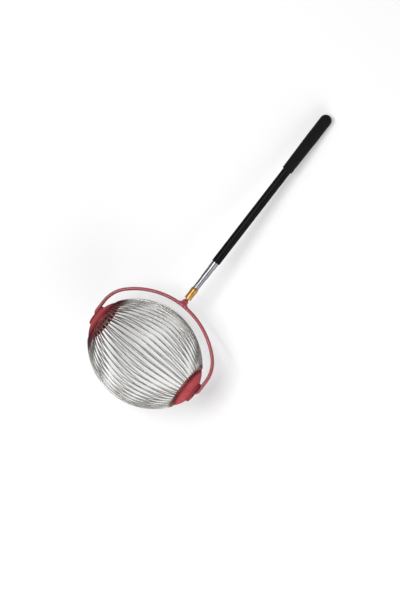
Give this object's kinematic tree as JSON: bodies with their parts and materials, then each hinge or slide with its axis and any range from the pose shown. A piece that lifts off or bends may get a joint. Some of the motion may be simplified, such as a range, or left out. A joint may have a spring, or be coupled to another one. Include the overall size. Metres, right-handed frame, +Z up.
{
  "type": "nut gatherer",
  "caption": "Rolling nut gatherer: a barrel cage of springy steel wires between red hubs, turning in a rod bail on a telescopic pole with a black grip.",
  "frame": {"origin": "centre of the bounding box's base, on the floor that the tool lies on with its pole pushed together", "axes": "+X from the cage towards the grip, +Y along the hub axle towards the right hub, +Z up; the pole slopes down to the grip by 9 degrees"},
  "size_m": [0.6438, 0.2496, 0.1917],
  "materials": {
    "wire": "bright plated spring steel wire",
    "hub": "glossy moulded red plastic",
    "bail": "red powder coat on steel rod",
    "brass": "turned brass",
    "bright_tube": "polished steel tube",
    "black_tube": "satin black paint on steel tube",
    "black_plastic": "plain black plastic",
    "grip": "dense black foam rubber",
    "nylon": "natural nylon",
    "zinc": "zinc-plated steel"
  },
  "bodies": {
    "yoke": {"bail": "bail", "left_pin_washer": "zinc", "right_pin_washer": "zinc", "left_push_nut": "zinc", "right_push_nut": "zinc", "stem": "bail", "ferrule": "brass", "inner_tube": "bright_tube", "inner_guide": "nylon"},
    "cage": {"cage_wires_1": "wire", "cage_wires_2": "wire", "cage_wires_3": "wire", "cage_wires_4": "wire", "cage_wires_5": "wire", "cage_wires_6": "wire", "cage_wires_7": "wire", "cage_wires_8": "wire", "cage_wires_9": "wire", "cage_wires_10": "wire", "left_hub_shell": "hub", "right_hub_shell": "hub", "left_clamp_plate": "hub", "right_clamp_plate": "hub", "left_plate_screws": "zinc", "right_plate_screws": "zinc", "left_bush": "nylon", "right_bush": "nylon"},
    "third_section": {"third_tube": "bright_tube", "third_guide": "nylon"},
    "second_section": {"second_tube": "bright_tube", "second_guide": "nylon"},
    "handle": {"outer_tube": "black_tube", "end_plug": "black_plastic", "grip": "grip"}
  },
  "joints": [
    {"name": "cage_spin", "type": "hinge", "parent": "yoke", "child": "cage", "pos_m": [-0.22594, 0, 0.09584], "axis": [0, 1, 0], "continuous": true},
    {"name": "third_slide", "type": "slide", "parent": "yoke", "child": "third_section", "axis": [0.9878, 0, -0.1556], "range_m": [0, 0.2408]},
    {"name": "second_slide", "type": "slide", "parent": "third_section", "child": "second_section", "axis": [0.9878, 0, -0.1556], "range_m": [0, 0.2551]},
    {"name": "handle_slide", "type": "slide", "parent": "second_section", "child": "handle", "axis": [0.9878, 0, -0.1556], "range_m": [0, 0.2794]}
  ]
}
